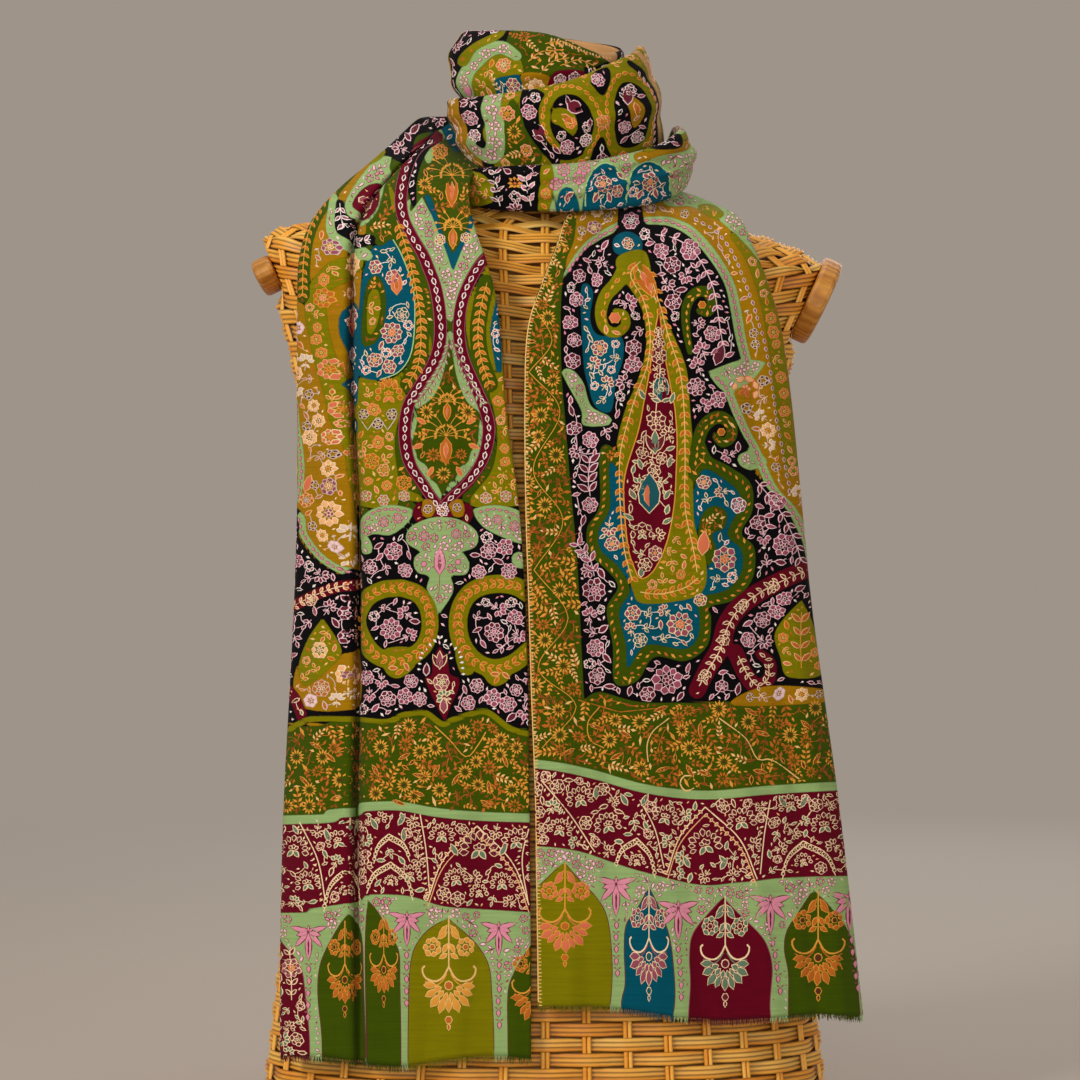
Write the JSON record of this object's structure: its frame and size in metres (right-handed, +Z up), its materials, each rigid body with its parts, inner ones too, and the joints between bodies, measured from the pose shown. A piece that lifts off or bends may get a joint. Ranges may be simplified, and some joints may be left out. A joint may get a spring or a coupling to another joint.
{
  "type": "pashmina shawl on a wicker dress form",
  "caption": "Wide embroidered pashmina shawl wound round the neck of a limbless wicker dress form, with both ends hanging down the front.",
  "frame": {"origin": "middle of the dress form's flat base, on the surface it stands on", "axes": "+Z up, -Y the front on which both ends hang, +X the right-hand side as seen from the front"},
  "size_m": [0.4213, 0.2465, 0.7551],
  "materials": {
    "cloth": "matte, soft nap",
    "wicker": "satin, woven rattan",
    "wood": "satin"
  },
  "bodies": {
    "root": {"arm_cap_left": "wood", "arm_cap_right": "wood", "form_torso": "wicker", "inner_turn": "cloth", "left_fall": "cloth", "lower_turn": "cloth", "middle_turn": "cloth", "neck_cap": "wood", "right_fall": "cloth"}
  },
  "joints": []
}
